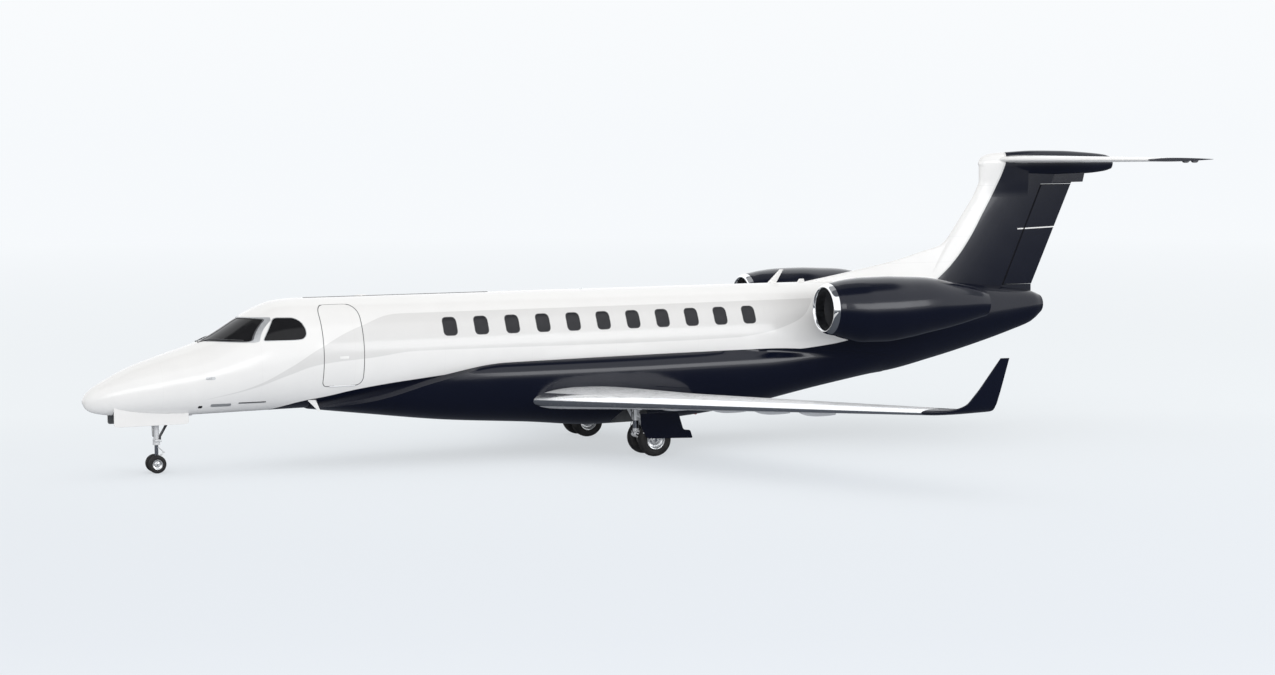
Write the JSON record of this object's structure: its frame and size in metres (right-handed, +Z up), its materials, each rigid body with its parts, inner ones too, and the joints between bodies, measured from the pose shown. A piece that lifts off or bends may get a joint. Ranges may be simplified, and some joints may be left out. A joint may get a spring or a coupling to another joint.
{
  "type": "business jet",
  "caption": "Twin-engined business jet with a T tail, winglets, an airstair door and landing gear down; control surfaces, flaps, fans, wheels and nose steering move.",
  "frame": {"origin": "on the ground, under the middle of the aircraft's bounding box", "axes": "+Z up, the nose points along -X and the left wing along -Y"},
  "size_m": [26.3299, 21.1684, 6.741],
  "materials": {
    "white_skin": "gloss",
    "white_rear_skin": "gloss",
    "navy_rear_skin": "gloss",
    "white_composite": "gloss",
    "navy_composite": "gloss",
    "wing_metal": "polished",
    "wing_surfaces": "satin",
    "cabin_floor": "matte",
    "cabin_trim": "satin",
    "glazing": "gloss",
    "engine_metal": "satin",
    "gear_metal": "satin",
    "inlet_chrome": "polished",
    "tyres": "matte"
  },
  "bodies": {
    "airframe": {"aft_fuselage": "white_rear_skin", "belly_fairing_center": "navy_composite", "belly_fairing_front": "navy_composite", "belly_fairing_rear": "navy_composite", "bullet_fairing": "navy_composite", "cabin_floor": "cabin_floor", "cabin_windows_left": "glazing", "cabin_windows_right": "glazing", "center_fuselage": "white_skin", "cockpit_bulkhead": "cabin_trim", "cockpit_section": "white_skin", "engine_left": "engine_metal", "engine_right": "engine_metal", "fin": "navy_composite", "forward_fuselage": "white_skin", "inlet_lip_left": "inlet_chrome", "inlet_lip_right": "inlet_chrome", "main_gear_door_left": "navy_composite", "main_gear_door_right": "navy_composite", "main_leg_left": "gear_metal", "main_leg_right": "gear_metal", "nacelle_left": "navy_composite", "nacelle_right": "navy_composite", "nose_gear_door_left": "white_composite", "nose_gear_door_right": "white_composite", "nose_leg": "gear_metal", "nose_section": "white_skin", "pylon_left": "navy_composite", "pylon_right": "navy_composite", "radome": "white_composite", "service_door": "white_skin", "side_window_left": "glazing", "side_window_right": "glazing", "stabilizer_left": "white_composite", "stabilizer_right": "white_composite", "tail_cone": "navy_composite", "tail_section": "navy_rear_skin", "windshield_left": "glazing", "windshield_right": "glazing", "wing_left": "wing_metal", "wing_right": "wing_metal", "winglet_left": "navy_composite", "winglet_right": "navy_composite"},
    "nose_steering": {"nose_steering": "gear_metal"},
    "nose_wheels": {"nose_wheels": "tyres"},
    "main_wheels_left": {"main_wheels_left": "tyres"},
    "fan_left": {"fan_left": "engine_metal"},
    "inboard_flap_left": {"inboard_flap_left": "wing_surfaces"},
    "outboard_flap_left": {"outboard_flap_left": "wing_surfaces"},
    "aileron_left": {"aileron_left": "wing_surfaces"},
    "elevator_left": {"elevator_left": "white_composite"},
    "main_wheels_right": {"main_wheels_right": "tyres"},
    "fan_right": {"fan_right": "engine_metal"},
    "inboard_flap_right": {"inboard_flap_right": "wing_surfaces"},
    "outboard_flap_right": {"outboard_flap_right": "wing_surfaces"},
    "aileron_right": {"aileron_right": "wing_surfaces"},
    "elevator_right": {"elevator_right": "white_composite"},
    "rudder": {"rudder": "navy_composite"},
    "passenger_door": {"passenger_door": "white_skin"}
  },
  "joints": [
    {"name": "nose_steer", "type": "hinge", "parent": "airframe", "child": "nose_steering", "pos_m": [-11.603, 0, 0.6], "axis": [0, 0, 1], "range_deg": [-70, 70]},
    {"name": "nose_wheels_spin", "type": "hinge", "parent": "nose_steering", "child": "nose_wheels", "pos_m": [-11.623, 0, 0.195], "axis": [0, 1, 0], "continuous": true},
    {"name": "main_wheels_left_spin", "type": "hinge", "parent": "airframe", "child": "main_wheels_left", "pos_m": [-0.884, -1.97, 0.38], "axis": [0, 1, 0], "continuous": true},
    {"name": "fan_left_spin", "type": "hinge", "parent": "airframe", "child": "fan_left", "pos_m": [4.3, -2.151, 3.15], "axis": [1, 0, 0], "continuous": true},
    {"name": "inboard_flap_left_hinge", "type": "hinge", "parent": "airframe", "child": "inboard_flap_left", "pos_m": [-0.07436, -2.6125, 1.21174], "axis": [-0.2372, 0.9693, -0.064], "range_deg": [0, 45]},
    {"name": "outboard_flap_left_hinge", "type": "hinge", "parent": "airframe", "child": "outboard_flap_left", "pos_m": [0.82593, -5.3225, 1.37212], "axis": [-0.3567, 0.9328, -0.0516], "range_deg": [0, 45]},
    {"name": "aileron_left_hinge", "type": "hinge", "parent": "airframe", "child": "aileron_left", "pos_m": [1.98409, -8.335, 1.5529], "axis": [-0.3537, 0.9344, -0.0431], "range_deg": [-25, 25]},
    {"name": "elevator_left_hinge", "type": "hinge", "parent": "airframe", "child": "elevator_left", "pos_m": [11.77726, -1.925, 6.53], "axis": [-0.4019, 0.9157, 0], "range_deg": [-25, 20]},
    {"name": "main_wheels_right_spin", "type": "hinge", "parent": "airframe", "child": "main_wheels_right", "pos_m": [-0.884, 1.97, 0.38], "axis": [0, 1, 0], "continuous": true},
    {"name": "fan_right_spin", "type": "hinge", "parent": "airframe", "child": "fan_right", "pos_m": [4.3, 2.151, 3.15], "axis": [1, 0, 0], "continuous": true},
    {"name": "inboard_flap_right_hinge", "type": "hinge", "parent": "airframe", "child": "inboard_flap_right", "pos_m": [-0.07436, 2.6125, 1.21174], "axis": [0.2372, 0.9693, 0.064], "range_deg": [0, 45]},
    {"name": "outboard_flap_right_hinge", "type": "hinge", "parent": "airframe", "child": "outboard_flap_right", "pos_m": [0.82593, 5.3225, 1.37212], "axis": [0.3567, 0.9328, 0.0516], "range_deg": [0, 45]},
    {"name": "aileron_right_hinge", "type": "hinge", "parent": "airframe", "child": "aileron_right", "pos_m": [1.98409, 8.335, 1.5529], "axis": [0.3537, 0.9344, 0.0431], "range_deg": [-25, 25]},
    {"name": "elevator_right_hinge", "type": "hinge", "parent": "airframe", "child": "elevator_right", "pos_m": [11.77726, 1.925, 6.53], "axis": [0.4019, 0.9157, 0], "range_deg": [-25, 20]},
    {"name": "rudder_hinge", "type": "hinge", "parent": "airframe", "child": "rudder", "pos_m": [10.17789, 0, 4.66], "axis": [0.4082, 0, 0.9129], "range_deg": [-25, 25]},
    {"name": "passenger_door_hinge", "type": "hinge", "parent": "airframe", "child": "passenger_door", "pos_m": [-7.74, -1.0069, 1.784], "axis": [1, 0, 0], "range_deg": [0, 138]}
  ]
}
